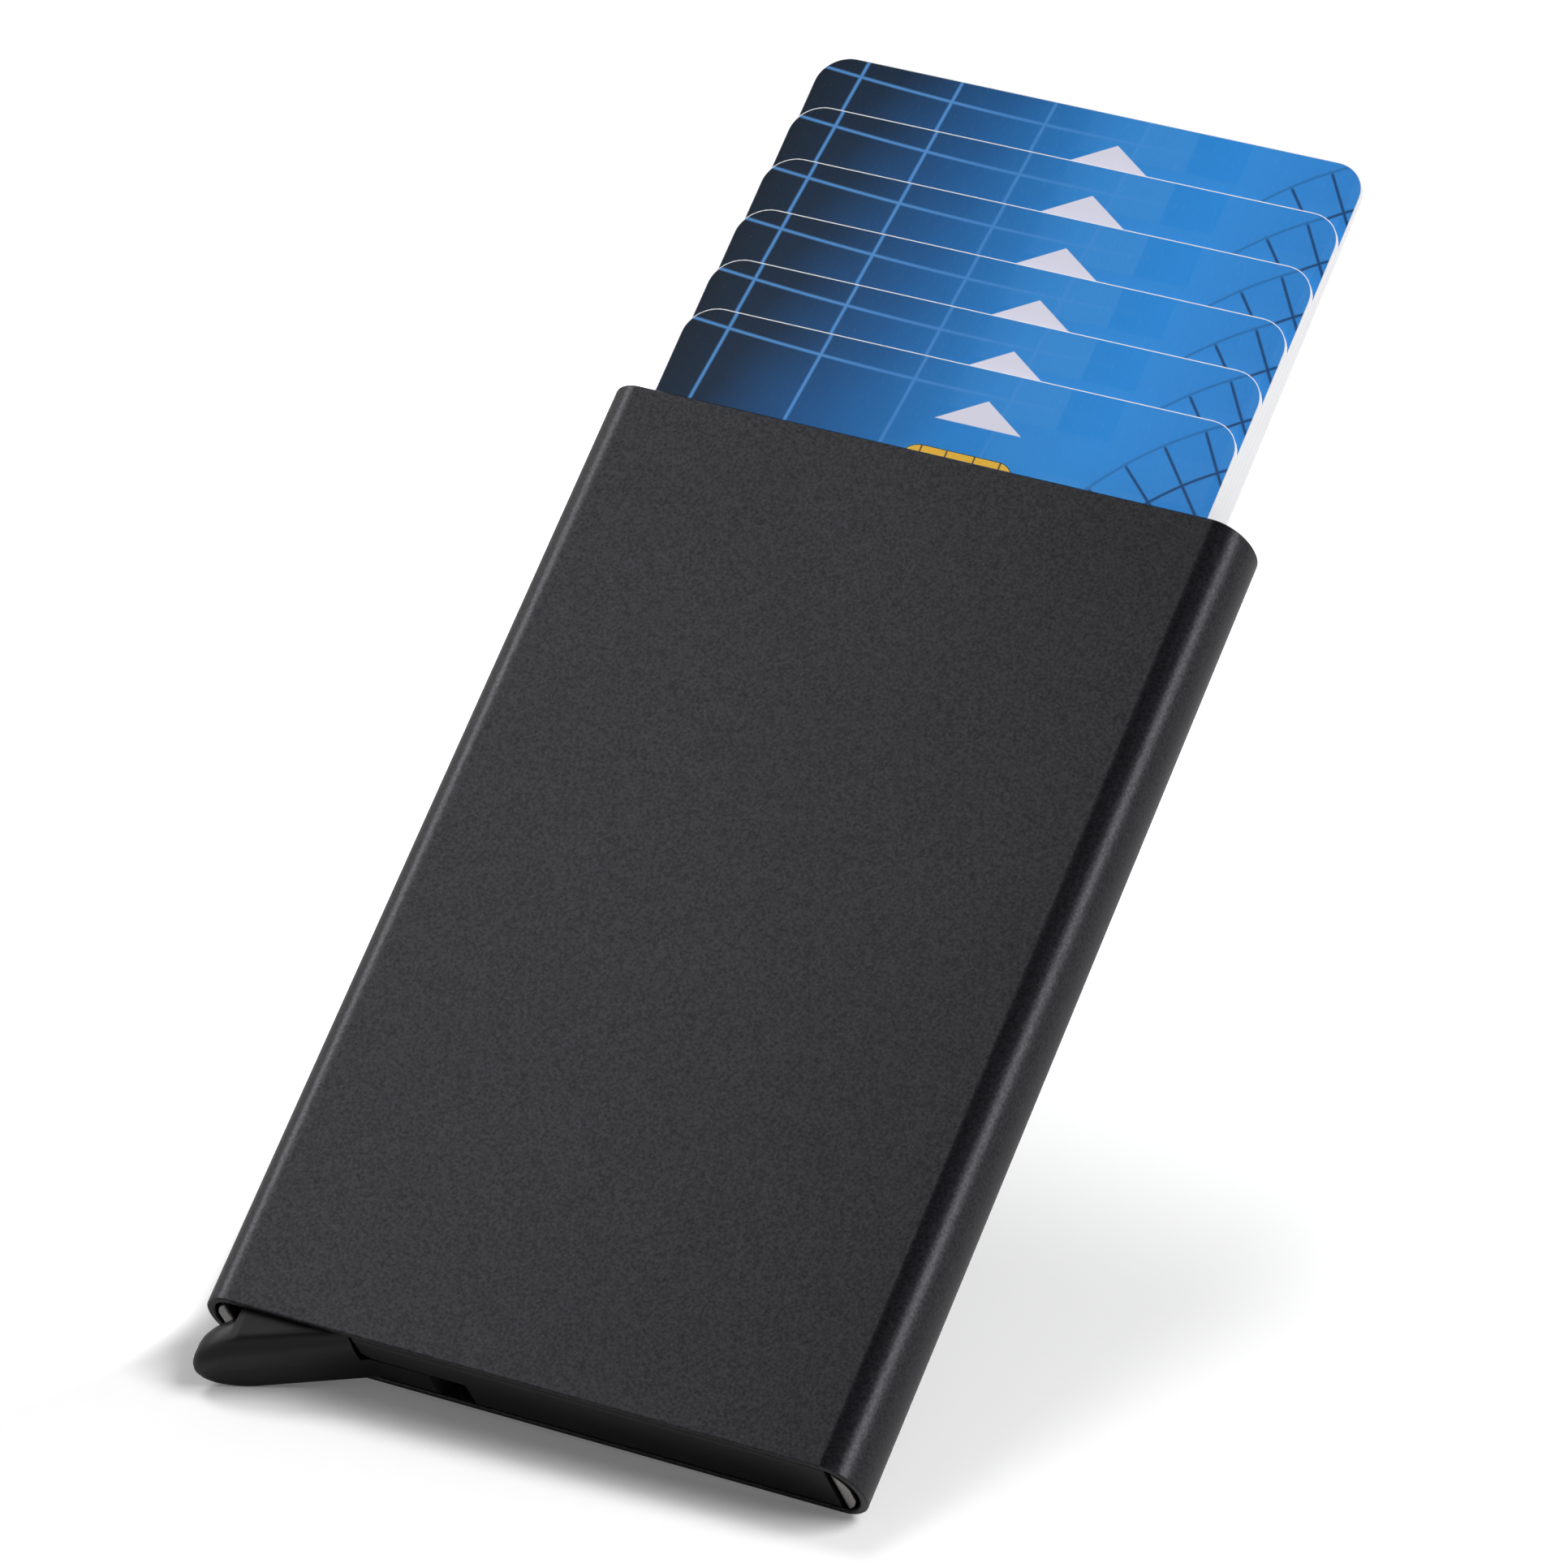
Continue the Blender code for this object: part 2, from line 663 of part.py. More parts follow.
def make_lever(pivot):
    """The ejector lever: thumb tab and six stepped arms round a hub on the pivot pin."""
    item = plate("ejector_lever", lever_outline(), INNER_LOW, INNER_HIGH)
    tip_room = prism_along_y("thumb_room", thumb_room(), -CASE_LENGTH, CASE_LENGTH)
    combine(item, tip_room, "INTERSECT")
    settle(item)
    round_thumb(item)
    lap = plate("lap_room", lap_outline(), LAP_LOW, INNER_HIGH + OVERRUN)
    round_edges(lap, lap_cutter_edge, BASE_LAP_ROUND + TURNING_GAP)
    lap.parent = pivot
    combine(item, lap, "DIFFERENCE")
    stair = prism_along_y("stair_room", stair_outline(), -OVERRUN, LEVER_ARM_TOP + OVERRUN)
    stair.parent = pivot
    combine(item, stair, "DIFFERENCE")
    bore_radius = PIN_RADIUS + PIN_RUNNING_GAP
    head_radius = PIN_HEAD_RADIUS + FIT_GAP
    head_floor = INNER_LOW + PIN_HEAD_RECESS
    bore = turned(
        "lever_bore",
        [
            (0, LAP_LOW + OVERRUN),
            (bore_radius, LAP_LOW + OVERRUN),
            (bore_radius, head_floor),
            (head_radius, head_floor),
            (head_radius, INNER_LOW - OVERRUN),
            (0, INNER_LOW - OVERRUN),
        ],
        False,
    )
    bore.parent = pivot
    combine(item, bore, "DIFFERENCE")
    outer = SPRING_RADIUS + SPRING_WIRE / 2 + SPRING_SIDE_GAP
    inner = SPRING_RADIUS - SPRING_WIRE / 2 - SPRING_SIDE_GAP
    floor = spring_low() - SPRING_WIRE / 2 - SPRING_FLOOR_GAP
    groove = turned(
        "spring_groove",
        [(outer, LAP_LOW + OVERRUN), (outer, floor), (inner, floor), (inner, LAP_LOW + OVERRUN)],
        True,
    )
    groove.parent = pivot
    combine(item, groove, "DIFFERENCE")
    item.parent = pivot
    finish(item, (0.012, 0.012, 0.013), 0.45, 0.0)
    return item


def spring_high():
    """Height of the wire's centre where the coil starts, just under the lap."""
    return LAP_LOW - SPRING_WIRE / 2 - TURNING_GAP


def spring_low():
    """Height of the wire's centre where the coil ends."""
    return spring_high() - SPRING_TURNS * SPRING_PITCH


def make_pin(pivot):
    """The headed steel pin, pressed in the base and turning freely in the lever."""
    top = INNER_HIGH - PIN_END_SINK
    head_high = INNER_LOW + PIN_HEAD_RECESS - PIN_END_SINK
    head_low = head_high - PIN_HEAD_THICKNESS
    profile = [
        (0, top),
        (PIN_RADIUS - PIN_CHAMFER, top),
        (PIN_RADIUS, top - PIN_CHAMFER),
        (PIN_RADIUS, head_high),
        (PIN_HEAD_RADIUS, head_high),
        (PIN_HEAD_RADIUS, head_low + PIN_CHAMFER),
        (PIN_HEAD_RADIUS - PIN_CHAMFER, head_low),
        (0, head_low),
    ]
    item = turned("pivot_pin", profile, False)
    item.parent = pivot
    finish(item, (0.6, 0.6, 0.6), 0.25, 1.0)
    return item


def make_return_spring(pivot):
    """A torsion spring round the pin: its upper leg stands in a hole of the base."""
    high = spring_high()
    leg_top = LAP_HIGH + SPRING_LEG_RISE
    points = [(0, -SPRING_RADIUS, leg_top)]
    for angle in range(0, 91, 30):
        turn = math.radians(angle)
        along = SPRING_BEND_RADIUS * (1 - math.cos(turn))
        drop = SPRING_BEND_RADIUS * (1 - math.sin(turn))
        round_pin = along / SPRING_RADIUS - math.pi / 2
        x = SPRING_RADIUS * math.cos(round_pin)
        points.append((x, SPRING_RADIUS * math.sin(round_pin), high + drop))
    start = SPRING_BEND_RADIUS / SPRING_RADIUS - math.pi / 2
    count = round(SPRING_TURNS * WIRE_STEPS_PER_TURN)
    for step in range(1, count + 1):
        turn = start + 2 * math.pi * step / WIRE_STEPS_PER_TURN
        height = high - SPRING_PITCH * step / WIRE_STEPS_PER_TURN
        points.append((SPRING_RADIUS * math.cos(turn), SPRING_RADIUS * math.sin(turn), height))
    curve = bpy.data.curves.new("return_spring", "CURVE")
    curve.dimensions = "3D"
    curve.bevel_depth = SPRING_WIRE / 2
    curve.bevel_resolution = WIRE_SIDES_STEP
    curve.use_fill_caps = True
    spline = curve.splines.new("POLY")
    spline.points.add(len(points) - 1)
    for point, place in zip(spline.points, points):
        point.co = (*place, 1)
    source = bpy.data.objects.new("return_spring", curve)
    model.objects.link(source)
    item = mesh_from_curve(source)
    weld(item)
    item.parent = pivot
    finish(item, (0.55, 0.55, 0.55), 0.3, 1.0)
    return item


def build():
    """Makes the whole holder."""
    global model, cutters
    clear_scene()
    model = new_collection("card_holder")
    cutters = new_collection("cutters")
    pivot = bpy.data.objects.new("lever_pivot", None)
    model.objects.link(pivot)
    pivot.location = PIVOT
    make_case()
    make_base(pivot)
    make_lever(pivot)
    make_pin(pivot)
    make_return_spring(pivot)
    make_side_spring("side_spring_left", -1)
    make_side_spring("side_spring_right", 1)
    make_cards()
    for index in range(CARD_COUNT):
        print("card", index + 1, "arm", round(arm_length(index), 5), "out", round(card_out(index), 5))


build()
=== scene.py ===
"""The pop-up card holder's looks: materials, card print, floor, room, lights and camera.

The materials work in mm of each piece's own frame, which is the part's frame in the rest pose. A noise is
written as (scale per mm, detail, roughness), a range as the values it runs from and to, a roughness as
(how far it varies, least), a bump as (depth in metres, strength), and a line as (width, softness).
"""

import json

import bpy
from mathutils import Matrix, Vector

MM = 1000.0
WHITE = (1.0, 1.0, 1.0)

# Camera, fitted to the photograph: its place and clipping in metres, its lens and sensor in mm
CAMERA_PLACE = (0.28625, -0.27620, 0.66084)
CAMERA_RIGHT = (0.90056989, 0.36759774, -0.2320469)
CAMERA_UP = (-0.22462096, 0.85050825, 0.47558506)
CAMERA_BACK = (0.3721818, -0.37617499, 0.84851228)
CAMERA_LENS = 203.1
CAMERA_SENSOR = 36.0
CAMERA_NEAR = 0.01
CAMERA_FAR = 20.0

# The holder leans: its thumb tab and lower right corner are on the floor and its mouth is raised
FLOOR_POINT = (-0.0282, -0.05136, 0.00145)
FLOOR_UP = (-0.0236, 0.5743, 0.8183)
FLOOR_SIZE = 6.0

# The floor is grey to the holder and white to the camera, with a faint paper tooth
FLOOR_GREY = 0.50
FLOOR_WHITE = 1.0
FLOOR_TOOTH = (0.6, 4.0, 0.7)
FLOOR_TOOTH_RANGE = (0.3, 0.7, 0.97, 1.0)

# Painted light: for the camera the floor glows, which lightens the holder's shadow far behind it and at its
# left
# For the camera it is lifted by the near value, and up to the far value between these two distances
# behind the holder's foot, in mm
FLOOR_NEAR = 42.0
FLOOR_FAR = 80.0
FLOOR_LIFT_NEAR = 0.09
FLOOR_LIFT_FAR = 0.35

# Painted light here too: this glow washes out the holder's shadow at the left
# It is lifted more at the left, where the photograph has no shadow: from the foot to the left, along a
# slightly leaning line, and behind another line that turns away from the holder, all in mm
FLOOR_LIFT_LEFT = 0.8
FLOOR_LEFT_LEAN = 0.2
FLOOR_LEFT_FROM = 3.0
FLOOR_LEFT_TO = 9.0
FLOOR_LEFT_BEHIND = 12.0
FLOOR_LEFT_TURN = 1.5

# Soft boxes: name, direction from the holder, distance, size, power, seen in gloss, lights matt surfaces
LIGHT_TARGET = (0.0, 0.0, 0.0)
SOFT_BOXES = (
    ("key_light", (0.634, 0.340, 0.695), 1.2, 0.6, 11.2, False, True),
    ("top_light", (-0.364, 0.535, 0.762), 1.3, 0.45, 4.2, False, True),
    ("edge_light", (0.99, 0.10, 0.10), 1.0, 0.4, 3.0, False, True),
    ("left_glow", (-0.705, 0.195, 0.682), 0.50, 0.50, 1.05, True, False),
    ("left_strip", (-0.86, 0.33, 0.38), 0.60, 0.25, 0.42, True, False),
)

# The room that gloss mirrors: a dim ceiling, a pale wall low above the floor, and a window at the right.
# Wall and window begin and are full at these cosines of the angle to the floor's upward direction and
# to the window's middle
ROOM_DIM = 0.065
ROOM_SOFT = 0.16
ROOM_SEEN = 1.0
WALL_TOP = 0.52
WALL_FULL = 0.32
WALL_LIGHT = 0.56
WINDOW_SIDE = (0.846, 0.376, 0.378)
WINDOW_EDGE = 0.885
WINDOW_FULL = 0.965
WINDOW_LIGHT = 4.6

# Anodised case
CASE_GRAIN = (3.4, 2.0, 0.6)
CASE_GRAIN_RANGE = (0.30, 0.70)
CASE_CLOUD = (0.07, 3.0, 0.55)
CASE_DARK = (0.003, 0.003, 0.004)
CASE_PALE = (0.008, 0.008, 0.010)
CASE_ROUGH = (0.08, 0.25)
CASE_BUMP = (0.00002, 0.5)
CASE_SHEEN_RANGE = (0.0, 1.0, 0.30, 0.60)
CASE_TINT = (0.93, 0.93, 1.0)
CASE_IOR = 1.5

# Moulded plastic, with the tab's parting line at half its height
PLASTIC_FINE = (9.0, 3.0, 0.6)
PLASTIC_BROAD = (0.35, 3.0, 0.6)
PLASTIC_DARK = (0.0015, 0.0015, 0.0016)
PLASTIC_PALE = (0.0035, 0.0035, 0.0037)
PLASTIC_ROUGH = (0.12, 0.30)
PLASTIC_BUMP = (0.00006, 0.5)
PLASTIC_GRAIN_SHARE = 0.10
PLASTIC_SHEEN = 0.40
PLASTIC_IOR = 1.45
PARTING_HEIGHT = 4.45
PARTING_LINE = (0.07, 0.03)
PARTING_FROM_X = (-15.0, -17.0)

# Spring steel, drawn lengthwise
STEEL_DRAWN = (9.0, 4.0, 0.7)
STEEL_DRAWN_SHARE = 0.06
STEEL_BLOTCH = (0.8, 3.0, 0.6)
STEEL_DARK = (0.72, 0.69, 0.65)
STEEL_PALE = (0.88, 0.86, 0.83)
STEEL_ROUGH = (0.18, 0.2)
STEEL_BUMP = (0.00001, 0.4)

# Cards, in mm: their size and the place of each card's top edge
CARD_WIDTH = 53.98
CARD_LENGTH = 85.6
CARD_CORNER = 3.18
CARD_TOPS = (57.1, 62.909, 68.899, 75.01, 81.21, 87.2)

# The print's fade from left to right, and the faint paler squares over it
FADE_HALF = 27.0
FADE_SLANT = 0.35
FADE_DRIFT = (0.05, 2.0)
FADE_DRIFT_REACH = 9.0
FADE_STOPS = (
    (0.0, (0.003, 0.008, 0.016)),
    (0.16, (0.004, 0.020, 0.050)),
    (0.36, (0.006, 0.085, 0.260)),
    (0.56, (0.010, 0.195, 0.560)),
    (0.78, (0.014, 0.225, 0.640)),
    (1.0, (0.014, 0.190, 0.560)),
)
SQUARE_WIDTH = 5.2
SQUARE_HEIGHT = 4.4
SQUARE_RANGE = (-8.0, 6.0, 0.0, 0.16)
SQUARE_COLOUR = (0.13, 0.38, 0.72)

# Pale lines at the left: slanted uprights, and bowed levels
PALE_FADE = (14.0, -14.0, 0.0, 0.85)
PALE_COLOUR = (0.085, 0.290, 0.660)
UPRIGHT_SLANT = 0.10
UPRIGHT_START = 22.6
UPRIGHT_GAP = 4.7
UPRIGHT_LINE = (0.3, 0.12)
LEVEL_BOW = 0.0016
LEVEL_START = 2.6
LEVEL_GAP = 5.4
LEVEL_LINE = (0.26, 0.12)

# Dark rings and spokes at the right, about a middle outside the card
RING_MIDDLE_X = 41.0
RING_MIDDLE_DOWN = 27.0
RING_START = 1.0
RING_GAP = 2.3
RING_END = (31.5, 30.8)
SPOKE_START = 7.0
SPOKE_TURN = 0.062
RING_LINE = (0.26, 0.1)
RING_COLOUR = (0.006, 0.020, 0.075)
RING_SHARE = 0.85

# The plain arrow that shows which way the card goes
ARROW_X = 3.4
ARROW_TIP = 3.1
ARROW_BASE = (5.9, 5.8)
ARROW_FLARE = 1.53
ARROW_EDGE = (-0.05, 0.09)
ARROW_COLOUR = (0.66, 0.65, 0.76)

# Specks and scratches of the print, and the card's white core at its cut edge
SPECK = (2.6, 2.0, 0.7)
SPECK_RANGE = (0.73, 0.79, 0.0, 0.35)
SPECK_COLOUR = (0.30, 0.45, 0.66)
SCRATCH = (3.0, 5.0, 0.75)
SCRATCH_LENGTHWISE_SHARE = 0.25
CORE_WIDTH = 0.09
CORE_SOFT = 0.03
CORE_COLOUR = (0.80, 0.80, 0.82)
CORE_ROUGH = 0.6
CARD_ROUGH = (0.16, 0.18)
CARD_BUMP = (0.00001, 0.3)
CARD_SHEEN = 0.20
CARD_IOR = 1.45

# Chip contact plate, in mm from its card's middle and top, and its parting lines
CHIP_MIDDLE = 2.9
CHIP_TOP = 8.8
CHIP_UPRIGHTS = (-3.75, -1.3, 1.4, 3.9)
CHIP_ROWS = (3.9, 8.2)
CHIP_ROWS_OUTSIDE = (1.3, 1.5)
CHIP_LINE = (0.16, 0.06)
CHIP_WEAR = (2.2, 4.0, 0.7)
CHIP_DARK = (0.66, 0.36, 0.02)
CHIP_PALE = (0.76, 0.46, 0.05)
CHIP_LINE_COLOUR = (0.05, 0.035, 0.015)
CHIP_METAL = 0.35
CHIP_ROUGH = (0.25, 0.22)
CHIP_BUMP = (0.00003, 0.6)

# Faces that meet at under about 30 degrees are shaded as one round face; corners this close (m) are one
SMOOTH_COSINE = 0.86
WELD = 0.000001


class Graph:
    """A node tree, with short ways to add and join its nodes."""

    def __init__(self, tree):
        self.tree = tree
        tree.nodes.clear()

    def add(self, kind, **settings):
        node = self.tree.nodes.new(kind)
        for name, value in settings.items():
            setattr(node, name, value)
        return node

    def put(self, socket, value):
        if isinstance(value, bpy.types.NodeSocket):
            self.tree.links.new(value, socket)
        elif socket.type == "RGBA" and len(value) == 3:
            socket.default_value = (*value, 1.0)
        else:
            socket.default_value = value

    def math(self, operation, *values):
        node = self.add("ShaderNodeMath", operation=operation)
        for socket, value in zip(node.inputs, values):
            self.put(socket, value)
        return node.outputs[0]

    def length(self, across, along):
        """The distance of a flat place from zero."""
        squares = (self.math("MULTIPLY", across, across), self.math("MULTIPLY", along, along))
        return self.math("SQRT", self.math("ADD", *squares))

    def most(self, values):
        """The largest of some values."""
        largest = values[0]
        for value in values[1:]:
            largest = self.math("MAXIMUM", largest, value)
        return largest

    def place(self):
        """The place on the piece, in mm."""
        node = self.add("ShaderNodeTexCoord")
        scaled = self.add("ShaderNodeVectorMath", operation="SCALE")
        self.put(scaled.inputs[0], node.outputs["Object"])
        scaled.inputs["Scale"].default_value = MM
        return scaled.outputs[0]

    def split(self, vector):
        node = self.add("ShaderNodeSeparateXYZ")
        self.put(node.inputs[0], vector)
        return node.outputs

    def join(self, x, y, z):
        node = self.add("ShaderNodeCombineXYZ")
        for socket, value in zip(node.inputs, (x, y, z)):
            self.put(socket, value)
        return node.outputs[0]

    def dot(self, first, second):
        node = self.add("ShaderNodeVectorMath", operation="DOT_PRODUCT")
        self.put(node.inputs[0], first)
        self.put(node.inputs[1], second)
        return node.outputs["Value"]

    def noise(self, place, scale, detail, roughness=0.5):
        node = self.add("ShaderNodeTexNoise")
        self.put(node.inputs["Vector"], place)
        node.inputs["Scale"].default_value = scale
        node.inputs["Detail"].default_value = detail
        node.inputs["Roughness"].default_value = roughness
        return node.outputs["Fac"]

    def spread(self, value, low, high, to_low=0.0, to_high=1.0, smooth=False):
        """Takes the range from low to high to another range, and holds the ends beyond it."""
        kind = "SMOOTHSTEP" if smooth else "LINEAR"
        node = self.add("ShaderNodeMapRange", interpolation_type=kind)
        for socket, given in zip(node.inputs[:5], (value, low, high, to_low, to_high)):
            self.put(socket, given)
        return node.outputs[0]

    def line(self, distance, width, soft):
        """1 on a thin line where distance is about zero, 0 away from it."""
        far = self.math("ABSOLUTE", distance)
        return self.spread(far, width / 2 + soft, width / 2 - soft, smooth=True)

    def mix_value(self, share, first, second):
        node = self.add("ShaderNodeMix", data_type="FLOAT")
        self.put(node.inputs[0], share)
        self.put(node.inputs[2], first)
        self.put(node.inputs[3], second)
        return node.outputs[0]

    def mix(self, share, first, second):
        node = self.add("ShaderNodeMix", data_type="RGBA")
        self.put(node.inputs[0], share)
        self.put(node.inputs[6], first)
        self.put(node.inputs[7], second)
        return node.outputs[2]

    def ramp(self, value, stops):
        node = self.add("ShaderNodeValToRGB")
        self.put(node.inputs[0], value)
        elements = node.color_ramp.elements
        while len(elements) < len(stops):
            elements.new(0.5)
        for element, (place, colour) in zip(elements, stops):
            element.position = place
            element.color = (*colour, 1.0)
        return node.outputs[0]

    def bump(self, height, depth, strength):
        node = self.add("ShaderNodeBump")
        node.inputs["Strength"].default_value = strength
        node.inputs["Distance"].default_value = depth
        self.put(node.inputs["Height"], height)
        return node.outputs[0]

    def ray(self, kind):
        """1 on rays of that kind."""
        return self.add("ShaderNodeLightPath").outputs["Is %s Ray" % kind]

    def seen(self):
        """1 on rays that come straight from the camera or through glass."""
        return self.math("MAXIMUM", self.ray("Camera"), self.ray("Transmission"))

    def surface(self, **inputs):
        shader = self.add("ShaderNodeBsdfPrincipled")
        for name, value in inputs.items():
            self.put(shader.inputs[name.replace("_", " ")], value)
        out = self.add("ShaderNodeOutputMaterial")
        self.put(out.inputs["Surface"], shader.outputs[0])


def new_material(name):
    """A material with an empty node tree."""
    material = bpy.data.materials.new(name)
    material.use_nodes = True
    return material, Graph(material.node_tree)


def anodised():
    """Black anodised aluminium, finely bead-blasted."""
    material, g = new_material("anodised_black")
    place = g.place()
    grain = g.noise(place, *CASE_GRAIN)
    cloud = g.noise(place, *CASE_CLOUD)
    tone = g.spread(grain, *CASE_GRAIN_RANGE)
    g.surface(
        Base_Color=g.mix(tone, CASE_DARK, CASE_PALE),
        Roughness=g.math("MULTIPLY_ADD", cloud, *CASE_ROUGH),
        Normal=g.bump(grain, *CASE_BUMP),
        IOR=CASE_IOR,
        Specular_IOR_Level=g.spread(tone, *CASE_SHEEN_RANGE),
        Specular_Tint=CASE_TINT,
    )
    return material


def moulded_plastic():
    """Satin black moulded plastic; the lever's tab has a faint parting line."""
    material, g = new_material("black_plastic")
    place = g.place()
    x, _, z = g.split(place)
    fine = g.noise(place, *PLASTIC_FINE)
    broad = g.noise(place, *PLASTIC_BROAD)
    seam = g.line(g.math("SUBTRACT", z, PARTING_HEIGHT), *PARTING_LINE)
    seam = g.math("MULTIPLY", seam, g.spread(x, *PARTING_FROM_X))
    height = g.math("MULTIPLY_ADD", fine, PLASTIC_GRAIN_SHARE, seam)
    g.surface(
        Base_Color=g.mix(broad, PLASTIC_DARK, PLASTIC_PALE),
        Roughness=g.math("MULTIPLY_ADD", broad, *PLASTIC_ROUGH),
        Normal=g.bump(height, *PLASTIC_BUMP),
        IOR=PLASTIC_IOR,
        Specular_IOR_Level=PLASTIC_SHEEN,
    )
    return material


def steel():
    """Bright cold-rolled spring steel, drawn lengthwise."""
    material, g = new_material("spring_steel")
    place = g.place()
    x, y, z = g.split(place)
    drawn = g.noise(g.join(x, g.math("MULTIPLY", y, STEEL_DRAWN_SHARE), z), *STEEL_DRAWN)
    blotch = g.noise(place, *STEEL_BLOTCH)
    g.surface(
        Base_Color=g.mix(blotch, STEEL_DARK, STEEL_PALE),
        Metallic=1.0,
        Roughness=g.math("MULTIPLY_ADD", drawn, *STEEL_ROUGH),
        Normal=g.bump(drawn, *STEEL_BUMP),
    )
    return material


def print_ground(g, x, down, flat):
    """The fade from near black to azure, with faint paler squares at the right."""
    drift = g.noise(flat, *FADE_DRIFT)
    along = g.math("MULTIPLY_ADD", drift, FADE_DRIFT_REACH, g.math("ADD", x, -FADE_DRIFT_REACH / 2))
    along = g.math("MULTIPLY_ADD", down, FADE_SLANT, along)
    printed = g.ramp(g.spread(along, -FADE_HALF, FADE_HALF), FADE_STOPS)
    column = g.math("FLOOR", g.math("DIVIDE", x, SQUARE_WIDTH))
    row = g.math("FLOOR", g.math("DIVIDE", down, SQUARE_HEIGHT))
    square = g.add("ShaderNodeTexWhiteNoise", noise_dimensions="2D")
    g.put(square.inputs["Vector"], g.join(column, row, 0.0))
    paler = g.math("MULTIPLY", square.outputs["Value"], g.spread(x, *SQUARE_RANGE))
    return g.mix(paler, printed, SQUARE_COLOUR)


def print_pale_lines(g, x, down, printed):
    """Adds light blue lines at the left, which fade out towards the right."""
    slant = g.math("MULTIPLY_ADD", down, UPRIGHT_SLANT, x)
    upright = g.math("PINGPONG", g.math("ADD", slant, UPRIGHT_START), UPRIGHT_GAP)
    bow = g.math("MULTIPLY", g.math("MULTIPLY", x, x), LEVEL_BOW)
    bowed = g.math("SUBTRACT", g.math("ADD", down, bow), LEVEL_START)
    level = g.math("PINGPONG", bowed, LEVEL_GAP)
    lines = g.most([g.line(upright, *UPRIGHT_LINE), g.line(level, *LEVEL_LINE)])
    return g.mix(g.math("MULTIPLY", lines, g.spread(x, *PALE_FADE)), printed, PALE_COLOUR)


def print_rings(g, x, down, printed):
    """Adds dark navy rings and spokes at the right."""
    from_x = g.math("SUBTRACT", x, RING_MIDDLE_X)
    from_y = g.math("SUBTRACT", down, RING_MIDDLE_DOWN)
    reach = g.length(from_x, from_y)
    ring = g.math("PINGPONG", g.math("ADD", reach, RING_START), RING_GAP)
    turn = g.math("ARCTAN2", from_y, from_x)
    turned = g.math("PINGPONG", g.math("ADD", turn, SPOKE_START), SPOKE_TURN)
    spoke = g.math("MULTIPLY", turned, reach)
    lines = g.most([g.line(ring, *RING_LINE), g.line(spoke, *RING_LINE)])
    dark = g.math("MULTIPLY", lines, g.spread(reach, *RING_END))
    return g.mix(g.math("MULTIPLY", dark, RING_SHARE), printed, RING_COLOUR)


def print_arrow(g, x, down, printed):
    """Adds the plain arrow that shows which way the card goes."""
    half_width = g.math("MULTIPLY", g.math("SUBTRACT", down, ARROW_TIP), ARROW_FLARE)
    aside = g.math("ABSOLUTE", g.math("SUBTRACT", x, ARROW_X))
    within = g.spread(g.math("SUBTRACT", half_width, aside), *ARROW_EDGE)
    arrow = g.math("MULTIPLY", within, g.spread(down, *ARROW_BASE))
    return g.mix(arrow, printed, ARROW_COLOUR)


def core_line(g, x, down):
    """1 where the card's white core shows, in a thin line along its outline with the round corners."""
    past_side = g.math("SUBTRACT", g.math("ABSOLUTE", x), CARD_WIDTH / 2 - CARD_CORNER)
    from_middle = g.math("ABSOLUTE", g.math("SUBTRACT", down, CARD_LENGTH / 2))
    past_end = g.math("SUBTRACT", from_middle, CARD_LENGTH / 2 - CARD_CORNER)
    corner = g.length(g.math("MAXIMUM", past_side, 0.0), g.math("MAXIMUM", past_end, 0.0))
    inner = g.math("MINIMUM", g.math("MAXIMUM", past_side, past_end), 0.0)
    outline = g.math("SUBTRACT", g.math("ADD", corner, inner), CARD_CORNER)
    return g.spread(outline, -CORE_WIDTH - CORE_SOFT, -CORE_WIDTH + CORE_SOFT)


def card_print(index):
    """One card: a white core, laminated with a print of its own make."""
    material, g = new_material("card_print_%d" % (index + 1))
    x, y, z = g.split(g.place())
    down = g.math("SUBTRACT", CARD_TOPS[index], y)
    flat = g.join(x, down, 0.0)
    printed = print_ground(g, x, down, flat)
    printed = print_pale_lines(g, x, down, printed)
    printed = print_rings(g, x, down, printed)
    printed = print_arrow(g, x, down, printed)
    specks = g.spread(g.noise(flat, *SPECK), *SPECK_RANGE)
    printed = g.mix(specks, printed, SPECK_COLOUR)
    core = core_line(g, x, down)
    lengthwise = g.math("MULTIPLY", y, SCRATCH_LENGTHWISE_SHARE)
    scratch = g.noise(g.join(x, lengthwise, z), *SCRATCH)
    rough = g.math("MULTIPLY_ADD", scratch, *CARD_ROUGH)
    g.surface(
        Base_Color=g.mix(core, printed, CORE_COLOUR),
        Roughness=g.math("MAXIMUM", rough, g.math("MULTIPLY", core, CORE_ROUGH)),
        Normal=g.bump(scratch, *CARD_BUMP),
        IOR=CARD_IOR,
        Specular_IOR_Level=CARD_SHEEN,
    )
    return material


